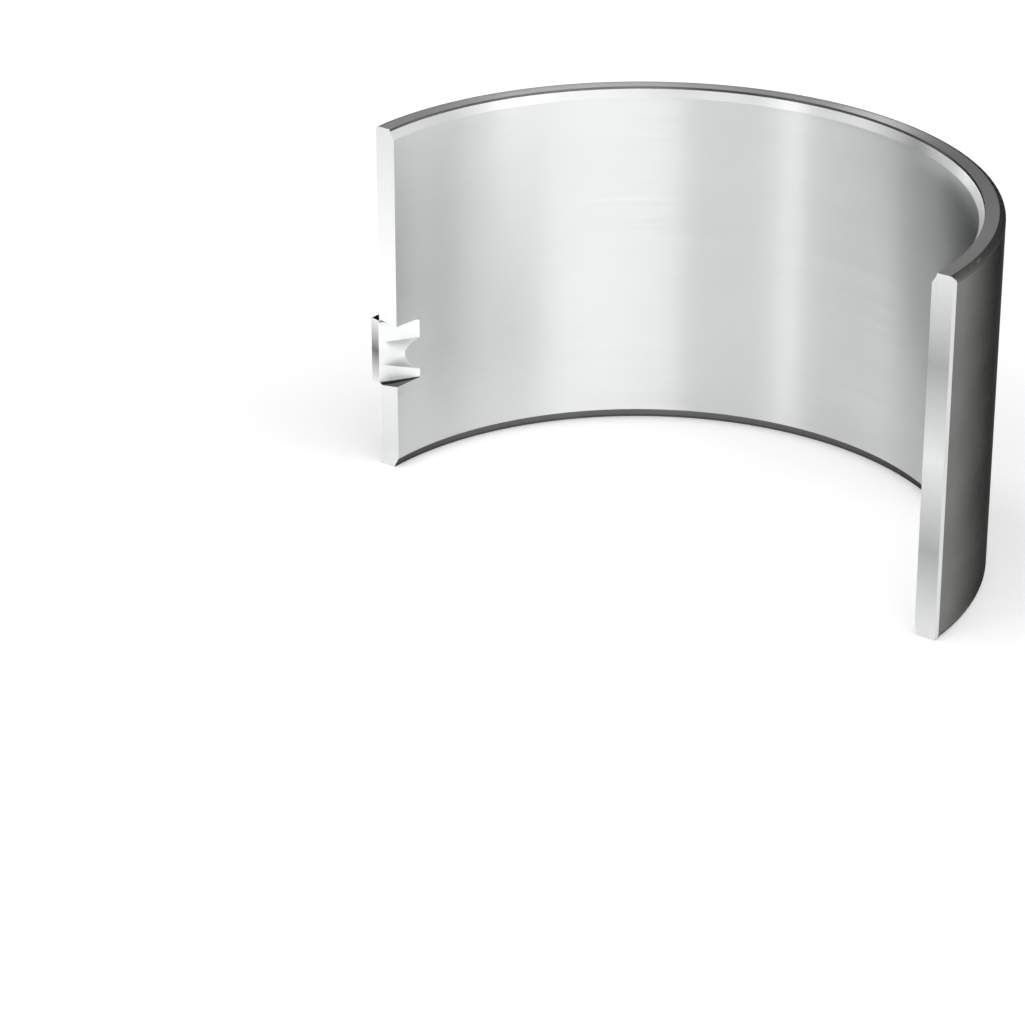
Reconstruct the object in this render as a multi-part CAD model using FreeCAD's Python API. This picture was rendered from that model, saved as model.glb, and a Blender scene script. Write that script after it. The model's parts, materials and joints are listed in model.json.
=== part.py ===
"""Half shell of a plain engine bearing: a thin half ring with a pressed locating tang.

Frame, in millimetres: +Z is the bearing axis, z = 0 the middle of the width, and y = 0 the joint
plane. The shell fills the +Y side, and its locating tang is at the -X end.
"""
import FreeCAD, Part
import math
import os

V = FreeCAD.Vector

# Shell
HOUSING_DIAMETER = 54.0     # back of the shell, seated in its housing
WALL = 2.0                  # journal diameter is the housing less two walls
WIDTH = 29.8                # along the axis

# Edges of the shell
BACK_EDGE_ROUND = 0.5       # round from the back to each side face
BORE_CHAMFER_RADIAL = 0.38  # long chamfer from the bore to each side face
BORE_CHAMFER_AXIAL = 0.65
SIDE_STEP_RADIAL = 0.04     # steep step between that chamfer and the side face
SIDE_STEP_AXIAL = 0.2
JOINT_BEVEL = 0.2           # edge of each joint face against the back

# Locating tang, the lug pressed outwards from the wall
TANG_FROM_SIDE = 10.05      # lower side face to the tang's middle
TANG_WIDTH = 5.6
TANG_RISE = 0.8             # how far it stands out from the back
TANG_THICKNESS = 0.9        # wall left at the joint face, behind the recess
TANG_FLAT = 1.7             # stretch that runs parallel to the joint face's normal
TANG_LENGTH = 4.4           # joint face to where the tang dies into the back
TANG_SHOULDER = 0.12        # round on its two long outer edges
TANG_RELIEF = 0.2           # its end face leans back from the joint plane by this much

# Recess behind the tang, open to the bore and to the joint face
RECESS_LENGTH = 2.83        # joint face to where the floor runs out in the bore
RECESS_LOW_JOINT = -2.69    # lower side at the bore from the tang's middle, at the joint face
RECESS_HIGH_JOINT = 2.69    # upper side, at the joint face
RECESS_LOW_END = -2.74      # lower side where the floor runs out
RECESS_HIGH_END = 2.56      # upper side where the floor runs out
RECESS_FLARE = 0.14         # widening of each side per millimetre of depth, from the shearing
RECESS_ROUND_JOINT = 0.38   # round between floor and sides, at the joint face
RECESS_ROUND_END = 0.06     # the same round where the floor runs out

# Rib left standing in the middle of the recess floor
RIB_START = 1.03            # joint face to where its crest meets the bore
RIB_LOW_JOINT = -1.15       # lower foot from the tang's middle, at the joint face
RIB_HIGH_JOINT = 0.82       # upper foot, at the joint face
RIB_LOW_END = -1.95         # lower foot where the floor runs out
RIB_HIGH_END = 0.9          # upper foot where the floor runs out
RIB_CREST_JOINT = 0.0       # crest from the tang's middle
RIB_CREST_END = 0.1
RIB_CREST_ROUND = 0.4       # share of each flank that the rounded crest takes

BACK_R = HOUSING_DIAMETER / 2
BORE_R = BACK_R - WALL
HALF_WIDTH = WIDTH / 2
TANG_Z = TANG_FROM_SIDE - HALF_WIDTH
FLOOR_R = BACK_R + TANG_RISE - TANG_THICKNESS
LUG_ROOT = WALL / 3         # how deep the lug is set into the wall that carries it
CUTTER_REACH = 3 * WALL     # how far the recess cutter reaches into the bore
PAST = 0.5                  # how far a cutter runs past the face it cuts
SAME = 1e-6                 # points nearer than this are one point


def polygon(points):
    return Part.makePolygon(points + points[:1])


def half_ring():
    """The section across the wall, turned half a turn about the bearing axis."""
    step_r = BORE_R + BORE_CHAMFER_RADIAL
    side_r = step_r + SIDE_STEP_RADIAL
    round_r = BACK_R - BACK_EDGE_ROUND
    round_z = HALF_WIDTH - BACK_EDGE_ROUND
    step_z = HALF_WIDTH - SIDE_STEP_AXIAL
    bore_z = step_z - BORE_CHAMFER_AXIAL
    mid = BACK_EDGE_ROUND * math.sqrt(0.5)

    def edges_at(sign):
        """Side face and its edges, from the bore outwards."""
        bore = V(BORE_R, 0, sign * bore_z)
        step = V(step_r, 0, sign * step_z)
        side = V(side_r, 0, sign * HALF_WIDTH)
        round_in = V(round_r, 0, sign * HALF_WIDTH)
        round_mid = V(round_r + mid, 0, sign * (round_z + mid))
        round_out = V(BACK_R, 0, sign * round_z)
        return [
            Part.makeLine(bore, step),
            Part.makeLine(step, side),
            Part.makeLine(side, round_in),
            Part.Arc(round_in, round_mid, round_out).toShape(),
        ]

    back = Part.makeLine(V(BACK_R, 0, -round_z), V(BACK_R, 0, round_z))
    bore = Part.makeLine(V(BORE_R, 0, -bore_z), V(BORE_R, 0, bore_z))
    edges = edges_at(1) + edges_at(-1) + [back, bore]
    section = Part.Face(Part.Wire(Part.sortEdges(edges)[0]))
    return section.revolve(V(0, 0, 0), V(0, 0, 1), 180)


def joint_bevels(ring):
    """Takes the corner between the back and each joint face off."""
    for side in (-1, 1):
        corner = [
            V(side * (BACK_R - JOINT_BEVEL - PAST), -PAST, -HALF_WIDTH - PAST),
            V(side * (BACK_R + PAST), -PAST, -HALF_WIDTH - PAST),
            V(side * (BACK_R + PAST), JOINT_BEVEL + PAST, -HALF_WIDTH - PAST),
        ]
        prism = Part.Face(polygon(corner)).extrude(V(0, 0, WIDTH + 2 * PAST))
        ring = ring.cut(prism)
    return ring


def across_tang(outline, width):
    """Extrudes an outline in the XY plane to a width about the tang's middle."""
    wire = polygon([V(x, y, TANG_Z - width / 2) for x, y in outline])
    return Part.Face(wire).extrude(V(0, 0, width))


def lug():
    """What stands out from the back: parallel to it at the joint face, then running down into it."""
    out_x = -(BACK_R + TANG_RISE)
    root_r = BACK_R - LUG_ROOT
    end_angle = math.asin(TANG_LENGTH / BACK_R)
    back_end = (-BACK_R * math.cos(end_angle), BACK_R * math.sin(end_angle))
    root_end = (-root_r * math.cos(end_angle), root_r * math.sin(end_angle))
    body = across_tang(
        [(-root_r, 0), (out_x, 0), (out_x, TANG_FLAT), back_end, root_end], TANG_WIDTH
    )
    bend = [e for e in body.Edges if at_all(e, x=out_x, y=TANG_FLAT)]
    body = body.makeFillet(TANG_FLAT, bend)
    long_edges = [e for e in body.Edges if outer_side_edge(e)]
    return body.makeFillet(TANG_SHOULDER, long_edges)


def at_all(edge, **place):
    """True if both ends of an edge have the given coordinates."""
    return all(abs(getattr(v.Point, axis) - value) < SAME
               for v in edge.Vertexes for axis, value in place.items())


def outer_side_edge(edge):
    """True for the lug's edges between its outer surface and its two sides."""
    sides = [abs(abs(v.Z - TANG_Z) - TANG_WIDTH / 2) < SAME for v in edge.Vertexes]
    level = all(abs(v.Z - edge.Vertexes[0].Z) < SAME for v in edge.Vertexes)
    middle = edge.valueAt((edge.FirstParameter + edge.LastParameter) / 2)
    outside = math.hypot(middle.x, middle.y) > BACK_R
    return all(sides) and level and outside and abs(middle.y) > SAME


def end_relief():
    """Wedge that leans the tang's end face back from the joint plane."""
    slope = TANG_RELIEF / TANG_THICKNESS
    reach = TANG_THICKNESS + PAST
    outline = [
        (-FLOOR_R, 0),
        (-FLOOR_R - reach, slope * reach),
        (-FLOOR_R - reach, -PAST),
        (-FLOOR_R, -PAST),
    ]
    return across_tang(outline, TANG_WIDTH)


def along_recess(start, end, y):
    """A value that changes evenly from the joint face to the recess's end."""
    return start + (end - start) * y / RECESS_LENGTH


def floor_x(y):
    """Where the recess floor lies, at a distance from the joint face."""
    end_x = -math.sqrt(BORE_R ** 2 - RECESS_LENGTH ** 2)
    return along_recess(-FLOOR_R, end_x, y)


def side_point(x, y, sign):
    """A point on the recess's upper side (sign 1) or lower side (sign -1)."""
    if sign > 0:
        at_bore = along_recess(RECESS_HIGH_JOINT, RECESS_HIGH_END, y)
    else:
        at_bore = along_recess(RECESS_LOW_JOINT, RECESS_LOW_END, y)
    return V(x, y, TANG_Z + at_bore + sign * RECESS_FLARE * (-BORE_R - x))


def rib_points(y):
    """Lower foot, crest and upper foot of the rib, before its crest is rounded."""
    foot_x = floor_x(y)
    start_depth = -math.sqrt(BORE_R ** 2 - RIB_START ** 2) - floor_x(RIB_START)
    crest_x = foot_x + start_depth / (1 - RIB_CREST_ROUND / 2) * y / RIB_START
    return [
        V(foot_x, y, TANG_Z + along_recess(RIB_LOW_JOINT, RIB_LOW_END, y)),
        V(crest_x, y, TANG_Z + along_recess(RIB_CREST_JOINT, RIB_CREST_END, y)),
        V(foot_x, y, TANG_Z + along_recess(RIB_HIGH_JOINT, RIB_HIGH_END, y)),
    ]


def recess_section(y):
    """Section of the recess cutter across the tang, at a distance from the joint face."""
    open_x = -BORE_R + CUTTER_REACH
    low, crest, high = rib_points(y)
    round_low = crest + (low - crest) * RIB_CREST_ROUND
    round_high = crest + (high - crest) * RIB_CREST_ROUND
    crest_curve = Part.BezierCurve()
    crest_curve.setPoles([round_low, crest, round_high])
    floor_low, floor_high = [side_point(floor_x(y), y, sign) for sign in (-1, 1)]
    open_low, open_high = [side_point(open_x, y, sign) for sign in (-1, 1)]
    return Part.Wire([
        Part.makeLine(open_low, floor_low),
        Part.makeLine(floor_low, low),
        Part.makeLine(low, round_low),
        crest_curve.toShape(),
        Part.makeLine(round_high, high),
        Part.makeLine(high, floor_high),
        Part.makeLine(floor_high, open_high),
        Part.makeLine(open_high, open_low),
    ])


def recess():
    """Cutter for the sloping recess, with the rib left standing on its floor."""
    ends = (-PAST, RECESS_LENGTH + PAST)
    cutter = Part.makeLoft([recess_section(y) for y in ends], True, True)
    corners = [[side_point(floor_x(y), y, sign) for y in ends] for sign in (-1, 1)]
    edges = [e for e in cutter.Edges if any(joins(e, *pair) for pair in corners)]
    return cutter.makeFillet(RECESS_ROUND_JOINT, RECESS_ROUND_END, edges)


def joins(edge, start, end):
    """True if an edge runs from one point to another."""
    first, last = edge.Vertexes[0].Point, edge.Vertexes[-1].Point
    return first.distanceToPoint(start) < SAME and last.distanceToPoint(end) < SAME


def bearing_shell():
    shell = joint_bevels(half_ring())
    shell = shell.fuse(lug())
    shell = shell.cut(recess())
    shell = shell.cut(end_relief())
    return shell.removeSplitter()


os.makedirs("parts", exist_ok=True)
shell = bearing_shell()
print("solids", len(shell.Solids), "valid", shell.isValid(), "volume", round(shell.Volume, 2))
shell.exportStep("parts/bearing_shell.step")
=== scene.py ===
"""Looks of the half shell of a plain engine bearing: bright strip metal on a pale floor."""
import json
import math

import bpy
from mathutils import Matrix, Vector


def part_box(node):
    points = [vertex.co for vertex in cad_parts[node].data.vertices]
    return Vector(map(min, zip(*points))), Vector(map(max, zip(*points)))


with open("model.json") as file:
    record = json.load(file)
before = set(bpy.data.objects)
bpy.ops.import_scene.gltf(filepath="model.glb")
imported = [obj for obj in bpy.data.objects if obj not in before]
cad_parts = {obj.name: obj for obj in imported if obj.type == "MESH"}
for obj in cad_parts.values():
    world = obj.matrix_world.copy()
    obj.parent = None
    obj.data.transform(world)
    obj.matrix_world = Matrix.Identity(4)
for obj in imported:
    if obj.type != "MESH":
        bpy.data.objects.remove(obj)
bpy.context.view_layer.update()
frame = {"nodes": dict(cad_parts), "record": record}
MM = 0.001

# Sizes of the shell, from the frame
shell = frame["nodes"]["bearing_shell"]
BOX_LOW, BOX_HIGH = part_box("bearing_shell")
MOUNTS = {mount["name"]: mount for mount in frame["record"]["mounts"]}
BORE_R = MOUNTS["journal"]["dims"]["r_mm"] * MM
BORE_TOP = MOUNTS["journal"]["dims"]["length_mm"] * MM / 2
BACK_R = BOX_HIGH.x
SIDE_Z = BOX_HIGH.z
TANG_Z = MOUNTS["locating_tang"]["pos_m"][2]

# How the shell's faces are told apart: distances, then shares of a normal in one direction
BACK_EDGE_ROUND = 0.5 * MM
TANG_HALF_FLOOR = 2.2 * MM   # the recess's floor ends this far from the tang's middle
JOINT_EDGE = 0.3 * MM        # bevels and the tang's end are this near the joint and the back
FACET_SAG = 0.03 * MM        # a facet's middle lies off the true curve by less than this
SAME = 0.005 * MM            # what lies nearer than this is in one place
SQUARE = 0.999               # for a flat face that faces that way
BORE_FACING = 0.99           # towards the axis, for the bore
STEP_FACING = 0.95           # for the steep step at the side face
CHAMFER_FACING = 0.8         # for the long chamfer
JOINT_FACING = 0.5           # towards the joint plane, for a bevel or the tang's end
BEVEL_OUTWARD = 0.1          # away from the axis, for the same
BACK_OUTWARD = 0.02          # for the back

# Camera, round the shell's own axis: degrees, metres, and millimetres for lens and sensor
CAMERA_AZIMUTH = 36.718
CAMERA_ELEVATION = 25.809
CAMERA_ROLL = -0.06
CAMERA_DISTANCE = 0.29931
CAMERA_ASIDE = -0.01056
CAMERA_DOWN = 0.01062
CAMERA_LENS = 134.662
SENSOR = 36.0

# Marks that several finishes have, in millimetres
CLOUDS = (4, 4, 4)           # patches of slightly uneven tone, as large as a rinse mark
RING_CLOUDS = (4, 7, 4)      # the same on ringed metal, drawn out a little round the shell
RING_LENGTH = 60             # a turned or rolled line fades within this length
SCORES = (0.15, 0.15, 12)    # a broach tooth's score, really 0.05 wide, drawn nearly two pixels wide
PRESSED_GRAIN = (0.3, 0.3, 0.3)   # really 0.1 wide, drawn three pixels wide

# Share by which the roughness drifts with the marks, and how the noise behind them is used
ROUGHNESS_SPREAD = 0.03
NOISE_DETAIL = 2.0
NOISE_LOW = 0.3              # noise lies mostly between these
NOISE_HIGH = 0.7
QUARTER_TURN = 0.25          # turns a highlight from along the lines to across them

# Painted shade and highlight in slow waves up the joint faces and the tang's end, in millimetres:
# where the lightest place lies, and how far from it the darkest one is
PLAIN_JOINT_PAINTED_BANDS = (0, 7.6)
TANG_JOINT_PAINTED_BANDS = (1, 14)
TANG_END_PAINTED_BANDS = (-2.05, 2.8)

# Painted shade on the sheared sides: how far a side's normal is tilted up or down where the shade
# starts, and where it is fully dark
LEVEL_SHADE_STARTS = 0.05
LEVEL_SHADE_FULL = 0.6

# Floor and light, in metres, where a brightness of 1 is white
FLOOR_HALF = 3.0
FLOOR_PAPER = "#F4F4F4"
FLOOR_GLOW = 0.27
WORLD_BRIGHTNESS = 0.14
LAMP_DISTANCE = 0.8
# Softboxes: azimuth, elevation, degrees wide, degrees high, brightness
SOFTBOXES = {
    "overhead": (90, 80, 44, 44, 1.4),
    "front_high": (335, 52, 60, 16, 2.7),
    "front_low": (56, 14, 66, 28, 2.3),
    "right": (117, 14, 60, 28, 1.7),
    "right_high": (104, 52, 28, 16, 1.95),
    "left_behind": (236, 5, 44, 8, 3.0),
    "left_low": (268, 3, 30, 6, 6.4),
    "left_behind_high": (261, 51, 16, 12, 7.2),
    "streak": (341, 25, 4, 50, 2.8),
}


def linear(code):
    """An sRGB hex colour as linear red, green and blue, with a full alpha."""
    parts = [int(code[i:i + 2], 16) / 255 for i in (1, 3, 5)]
    return [c / 12.92 if c <= 0.04045 else ((c + 0.055) / 1.055) ** 2.4 for c in parts] + [1.0]


def add(tree, kind, inputs=(), **settings):
    """Adds a node with its settings. Each input gets a value, or a link from an output."""
    made = tree.nodes.new(kind)
    for name, value in settings.items():
        setattr(made, name, value)
    for key, value in dict(inputs).items():
        if isinstance(value, bpy.types.NodeSocket):
            tree.links.new(value, made.inputs[key])
        else:
            made.inputs[key].default_value = value
    return made


def start_material(name):
    """A material with no nodes yet."""
    material = bpy.data.materials.new(name)
    material.use_nodes = True
    material.node_tree.nodes.clear()
    return material


def place_in_millimetres(tree):
    """Where a point lies in the shell's own frame, in millimetres."""
    place = add(tree, "ShaderNodeTexCoord").outputs["Object"]
    return add(tree, "ShaderNodeVectorMath", {0: place, "Scale": 1 / MM},
               operation="SCALE").outputs[0]


def place_round_the_shell(tree, place):
    """The same place as its radius, its way along the circumference and its height."""
    flat = add(tree, "ShaderNodeVectorMath", {0: place, 1: (1, 1, 0)}, operation="MULTIPLY")
    radius = add(tree, "ShaderNodeVectorMath", {0: flat.outputs[0]}, operation="LENGTH")
    parts = add(tree, "ShaderNodeSeparateXYZ", {0: place})
    angle = add(tree, "ShaderNodeMath", {0: parts.outputs["Y"], 1: parts.outputs["X"]},
                operation="ARCTAN2")
    arc = add(tree, "ShaderNodeMath", {0: angle.outputs[0], 1: BORE_R / MM},
              operation="MULTIPLY")
    return add(tree, "ShaderNodeCombineXYZ", {
        "X": radius.outputs["Value"],
        "Y": arc.outputs[0],
        "Z": parts.outputs["Z"],
    }).outputs[0]


def marks(tree, place, size, low=0.0, high=1.0):
    """Random marks from low to high, of a size in millimetres along each of the three ways."""
    stretched = add(tree, "ShaderNodeVectorMath", {0: place, 1: [1 / s for s in size]},
                    operation="MULTIPLY")
    noise = add(tree, "ShaderNodeTexNoise", {
        "Vector": stretched.outputs[0],
        "Scale": 1.0,
        "Detail": NOISE_DETAIL,
    })
    return add(tree, "ShaderNodeMapRange", {
        "Value": noise.outputs[0],
        "From Min": NOISE_LOW,
        "From Max": NOISE_HIGH,
        "To Min": low,
        "To Max": high,
    }).outputs[0]


def clouded(tree, place, size, dark, light):
    """A colour that drifts between two tones in soft patches."""
    return add(tree, "ShaderNodeMix", {
        0: marks(tree, place, size),
        6: linear(dark),
        7: linear(light),
    }, data_type="RGBA").outputs[2]


def banded_painted_shade(tree, place, shade_bands, dark, light):
    """Painted shade and highlight: a colour in slow waves up the axis, from the lightest place to
    the darkest and back.
    """
    lightest, reach = shade_bands
    height = add(tree, "ShaderNodeSeparateXYZ", {0: place}).outputs["Z"]
    away = add(tree, "ShaderNodeMath", {0: height, 1: lightest}, operation="SUBTRACT")
    wave = add(tree, "ShaderNodeMath", {0: away.outputs[0], 1: reach}, operation="PINGPONG")
    share = add(tree, "ShaderNodeMath", {0: wave.outputs[0], 1: reach}, operation="DIVIDE")
    return add(tree, "ShaderNodeMix", {
        0: share.outputs[0],
        6: linear(light),
        7: linear(dark),
    }, data_type="RGBA").outputs[2]


def painted_shade_where_level(tree, colour, dark):
    """Painted shade: turns a colour dark where the surface faces up or down."""
    geometry = add(tree, "ShaderNodeNewGeometry")
    upward = add(tree, "ShaderNodeSeparateXYZ", {0: geometry.outputs["Normal"]}).outputs["Z"]
    level = add(tree, "ShaderNodeMath", {0: upward}, operation="ABSOLUTE")
    share = add(tree, "ShaderNodeMapRange", {
        "Value": level.outputs[0],
        "From Min": LEVEL_SHADE_STARTS,
        "From Max": LEVEL_SHADE_FULL,
    })
    return add(tree, "ShaderNodeMix", {
        0: share.outputs[0],
        6: colour,
        7: linear(dark),
    }, data_type="RGBA").outputs[2]


def bare_metal(tree, place, colour, edge, roughness, grain, relief, more_inputs=()):
    """Metal with a grain and its relief in millimetres, tinted by edge at a low angle of view."""
    smooth, rough = roughness - ROUGHNESS_SPREAD, roughness + ROUGHNESS_SPREAD
    bump = add(tree, "ShaderNodeBump", {
        "Height": marks(tree, place, grain),
        "Strength": 1.0,
        "Distance": relief * MM,
    })
    shader = add(tree, "ShaderNodeBsdfPrincipled", {
        "Base Color": colour,
        "Metallic": 1.0,
        "Roughness": marks(tree, place, grain, smooth, rough),
        "Specular Tint": linear(edge),
        "Normal": bump.outputs[0],
    } | dict(more_inputs))
    add(tree, "ShaderNodeOutputMaterial", {"Surface": shader.outputs["BSDF"]})


def ringed_metal(name, dark, light, edge, roughness, anisotropic, pitch, relief):
    """Turned or rolled metal: its lines round the shell draw every highlight out across them."""
    material = start_material(name)
    tree = material.node_tree
    place = place_in_millimetres(tree)
    along_lines = add(tree, "ShaderNodeVectorMath", {0: (0, 0, 1), 1: place},
                      operation="CROSS_PRODUCT").outputs["Vector"]
    unrolled = place_round_the_shell(tree, place)
    colour = clouded(tree, unrolled, RING_CLOUDS, dark, light)
    bare_metal(tree, unrolled, colour, edge, roughness, (pitch, RING_LENGTH, pitch), relief, {
        "Anisotropic": anisotropic,
        "Anisotropic Rotation": QUARTER_TURN,
        "Tangent": along_lines,
    })
    return material


def cut_metal(name, dark, light, edge, roughness, grain, relief, shade_bands=None, level=None):
    """Broached, pressed or sheared metal. Where it has them, it gets bands of painted shade and
    highlight, or painted shade where it faces up or down.
    """
    material = start_material(name)
    tree = material.node_tree
    place = place_in_millimetres(tree)
    if shade_bands:
        colour = banded_painted_shade(tree, place, shade_bands, dark, light)
    else:
        colour = clouded(tree, place, CLOUDS, dark, light)
    # The level colour is painted shade where the surface faces up or down.
    if level:
        colour = painted_shade_where_level(tree, colour, level)
    bare_metal(tree, place, colour, edge, roughness, grain, relief)
    return material


FINISHES = {
    # Tin flash on the bored lining: the brightest metal here. Its feed lines draw each light out
    # into a soft upright band. They are really 0.08 mm apart, and drawn three pixels apart.
    "bore": ringed_metal(
        "bored_tin_flash", dark="#F3F5F4", light="#F5F7F6", edge="#202020",
        roughness=0.45, anisotropic=1.0, pitch=0.25, relief=0.00012,
    ),
    # Steel back of the rolled strip: dull grey that goes dark towards the shell's outline. Its
    # roll lines are really 0.1 mm apart, and drawn three pixels apart.
    "back": ringed_metal(
        "rolled_steel_back", dark="#929290", light="#9C9C9A", edge="#202020",
        roughness=0.4, anisotropic=0.9, pitch=0.3, relief=0.0002,
    ),
    # The back's edges, rounded by tumbling: the same steel and the same lines, but rougher, so that
    # they have no glint. Their darker grey than the back's is painted shade along the outline.
    "back_edge": ringed_metal(
        "tumbled_steel_edge_painted_shade", dark="#747472", light="#7C7C7A", edge="#202020",
        roughness=0.55, anisotropic=0.65, pitch=0.3, relief=0.00008,
    ),
    # Side faces, turned across steel and lining: mid grey with bright fans, as a faced ring has.
    # The feed is really 0.1 mm, and drawn as two pixels.
    "side": ringed_metal(
        "turned_side_face", dark="#E8E8E6", light="#EEEEEC", edge="#FFFFFF",
        roughness=0.36, anisotropic=0.95, pitch=0.2, relief=0.00008,
    ),
    # Chamfer turned into the soft lining: a bright rim that swings between white and grey. The
    # feed here and on the next two cuts is really 0.1 mm too, and drawn as on the side faces.
    "chamfer": ringed_metal(
        "turned_lining_chamfer", dark="#EAECEB", light="#F0F2F1", edge="#FFFFFF",
        roughness=0.38, anisotropic=0.95, pitch=0.2, relief=0.00008,
    ),
    # Step that the facing tool leaves between chamfer and side face: a thin dark line of painted
    # shadow.
    "step": ringed_metal(
        "turned_step_painted_shadow", dark="#5E5E5C", light="#666664", edge="#202020",
        roughness=0.35, anisotropic=0.6, pitch=0.2, relief=0.00016,
    ),
    # Lower chamfer: painted shade, a darker grey than the upper chamfer, for the shade where it
    # meets the floor.
    "foot": ringed_metal(
        "turned_lower_chamfer_painted_shade", dark="#7A7A78", light="#828280", edge="#808080",
        roughness=0.35, anisotropic=0.6, pitch=0.2, relief=0.00016,
    ),
    # Broached joint face: smooth, with upright scores. Its slow light and dark waves are painted
    # shade and highlight, and its tone is painted darker than the joint face at the tang.
    "joint_plain": cut_metal(
        "broached_plain_joint_painted_shade", dark="#A6A8A7", light="#E0E2E1", edge="#808080",
        roughness=0.3, grain=SCORES, relief=0.00016, shade_bands=PLAIN_JOINT_PAINTED_BANDS,
    ),
    # The joint face at the tang: painted highlight, nearly white, with one longer wave of painted
    # shade.
    "joint_tang": cut_metal(
        "broached_tang_joint_painted_light", dark="#E2E4E3", light="#FFFFFF", edge="#808080",
        roughness=0.3, grain=SCORES, relief=0.00016, shade_bands=TANG_JOINT_PAINTED_BANDS,
    ),
    # Corners broken between the joint faces and the back: a thin, even line. The one by the tang is
    # painted white as a highlight, and the other a darker grey as shade.
    "bevel_plain": cut_metal(
        "broken_plain_edge_painted_shade", dark="#CED0CF", light="#D4D6D5", edge="#808080",
        roughness=0.3, grain=SCORES, relief=0.00016,
    ),
    "bevel_tang": cut_metal(
        "broken_tang_edge_painted_highlight", dark="#FAFCFB", light="#FCFEFD", edge="#FFFFFF",
        roughness=0.4, grain=SCORES, relief=0.00016,
    ),
    # End of the tang, sheared: painted shade in its middle and painted highlight at its ends.
    "tang_end": cut_metal(
        "sheared_tang_end_painted_shade", dark="#7C7E7D", light="#F2F4F3", edge="#808080",
        roughness=0.3, grain=SCORES, relief=0.00016, shade_bands=TANG_END_PAINTED_BANDS,
    ),
    # Recess and rib, pressed by a polished punch: satin white with soft shades.
    "tang": cut_metal(
        "pressed_tang", dark="#F0F2F1", light="#F6F8F7", edge="#C0C0C0",
        roughness=0.55, grain=PRESSED_GRAIN, relief=0.00008,
    ),
    # Sides of the recess and of the lug, torn by the punch: painted shade makes them dark where they
    # face up or down, and they keep a light tone where they face sideways.
    "shear": cut_metal(
        "sheared_recess_side_painted_shade", dark="#F0F2F1", light="#F6F8F7", edge="#808080",
        roughness=0.55, grain=PRESSED_GRAIN, relief=0.00008, level="#303030",
    ),
}


def finish_of(face):
    """Which cut of the shell a face belongs to."""
    normal, middle = face.normal, face.center
    radius = math.hypot(middle.x, middle.y)
    outward = (normal.x * middle.x + normal.y * middle.y) / radius
    past_bore = abs(middle.z) > BORE_TOP
    at_joint_edge = middle.y < JOINT_EDGE and radius > BACK_R - JOINT_EDGE
    if normal.y < -SQUARE and abs(middle.y) < SAME:
        return "joint_plain" if middle.x > 0 else "joint_tang"
    if at_joint_edge and normal.y < -JOINT_FACING and outward > BEVEL_OUTWARD:
        if radius > BACK_R + SAME:
            return "tang_end"
        return "bevel_plain" if middle.x > 0 else "bevel_tang"
    if abs(normal.z) > SQUARE and abs(abs(middle.z) - SIDE_Z) < SAME:
        return "side"
    if outward < -BORE_FACING and abs(radius - BORE_R) < FACET_SAG and not past_bore:
        return "bore"
    if outward < -STEP_FACING and past_bore:
        return "step"
    if outward < -CHAMFER_FACING and past_bore:
        # the chamfer at the bottom takes the painted shade of the foot
        return "chamfer" if middle.z > 0 else "foot"
    if outward > BACK_OUTWARD and abs(middle.z) > SIDE_Z - BACK_EDGE_ROUND - SAME:
        return "back_edge"
    if outward > BACK_OUTWARD:
        return "back"
    if abs(middle.z - TANG_Z) > TANG_HALF_FLOOR:
        return "shear"
    return "tang"


def dress_shell():
    """Gives each face of the solid the finish of its cut."""
    names = list(FINISHES)
    shell.data.materials.clear()
    for name in names:
        shell.data.materials.append(FINISHES[name])
    for face in shell.data.polygons:
        face.material_index = names.index(finish_of(face))


def make_floor():
    """Matt white paper: white to the camera and in the metal, and still shaded by the shell."""
    mesh = bpy.data.meshes.new("floor")
    corners = [(-1, -1), (1, -1), (1, 1), (-1, 1)]
    places = [(x * FLOOR_HALF, y * FLOOR_HALF, BOX_LOW.z) for x, y in corners]
    mesh.from_pydata(places, [], [(0, 1, 2, 3)])
    floor = bpy.data.objects.new("floor", mesh)
    bpy.context.scene.collection.objects.link(floor)
    material = start_material("matt_white_paper")
    tree = material.node_tree
    path = add(tree, "ShaderNodeLightPath")
    either = add(tree, "ShaderNodeMath", {
        0: path.outputs["Is Camera Ray"],
        1: path.outputs["Is Glossy Ray"],
    }, operation="MAXIMUM")
    seen = add(tree, "ShaderNodeMath", {
        0: either.outputs[0],
        1: path.outputs["Is Transmission Ray"],
    }, operation="MAXIMUM")
    strength = add(tree, "ShaderNodeMath", {0: seen.outputs[0], 1: FLOOR_GLOW},
                   operation="MULTIPLY")
    glow = add(tree, "ShaderNodeEmission", {"Strength": strength.outputs[0]})
    diffuse = add(tree, "ShaderNodeBsdfDiffuse", {"Color": linear(FLOOR_PAPER)})
    both = add(tree, "ShaderNodeAddShader", {0: diffuse.outputs[0], 1: glow.outputs[0]})
    add(tree, "ShaderNodeOutputMaterial", {"Surface": both.outputs[0]})
    mesh.materials.append(material)


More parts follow.
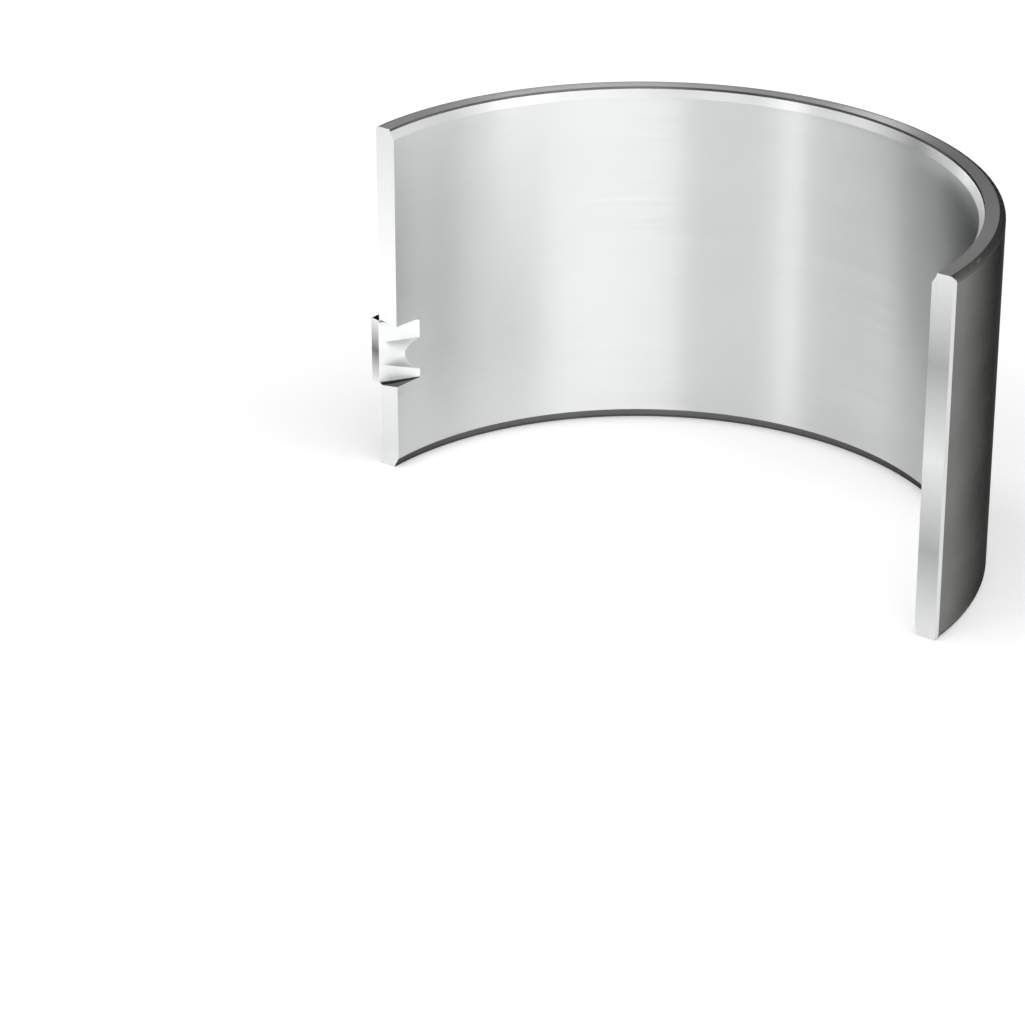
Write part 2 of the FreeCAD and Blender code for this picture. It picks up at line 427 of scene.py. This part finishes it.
def make_world():
    """Even pale light from all round, which fills the shadows."""
    world = bpy.data.worlds.new("studio")
    bpy.context.scene.world = world
    world.use_nodes = True
    tree = world.node_tree
    tree.nodes.clear()
    shade = add(tree, "ShaderNodeBackground", {
        "Color": (1, 1, 1, 1),
        "Strength": WORLD_BRIGHTNESS,
    })
    add(tree, "ShaderNodeOutputWorld", {"Surface": shade.outputs[0]})


def direction(azimuth, elevation):
    """Unit vector from the shell towards azimuth and elevation, as the camera's are counted."""
    a, e = math.radians(azimuth), math.radians(elevation)
    return Vector((math.sin(a) * math.cos(e), -math.cos(a) * math.cos(e), math.sin(e)))


def softbox(name, azimuth, elevation, wide, high, brightness):
    """A lamp that fills so many degrees of the view from the shell, as bright as is said."""
    width = 2 * LAMP_DISTANCE * math.tan(math.radians(wide / 2))
    height = 2 * LAMP_DISTANCE * math.tan(math.radians(high / 2))
    light = bpy.data.lights.new(name, "AREA")
    light.shape = "RECTANGLE"
    light.size = width
    light.size_y = height
    # The power at which a panel of this size glows with that brightness
    light.energy = math.pi * width * height * brightness
    lamp = bpy.data.objects.new(name, light)
    bpy.context.scene.collection.objects.link(lamp)
    towards = direction(azimuth, elevation)
    lamp.location = towards * LAMP_DISTANCE
    lamp.rotation_mode = "QUATERNION"
    lamp.rotation_quaternion = towards.to_track_quat("Z", "Y")
    lamp.visible_camera = False


def make_camera():
    """The view of the picture: towards the shell, moved a little aside and down."""
    towards = direction(CAMERA_AZIMUTH, CAMERA_ELEVATION)
    level = towards.cross(Vector((0, 0, -1))).normalized()
    above = towards.cross(level)
    roll = math.radians(CAMERA_ROLL)
    right = level * math.cos(roll) + above * math.sin(roll)
    up = above * math.cos(roll) - level * math.sin(roll)
    camera = bpy.data.objects.new("camera", bpy.data.cameras.new("camera"))
    camera.data.lens = CAMERA_LENS
    camera.data.sensor_width = SENSOR
    camera.matrix_world = Matrix((right, up, towards)).transposed().to_4x4()
    camera.location = towards * CAMERA_DISTANCE + right * CAMERA_ASIDE - up * CAMERA_DOWN
    bpy.context.scene.collection.objects.link(camera)
    bpy.context.scene.camera = camera


make_camera()
dress_shell()
make_floor()
make_world()
for name, place in SOFTBOXES.items():
    softbox(name, *place)
bpy.context.scene.view_settings.view_transform = "Standard"
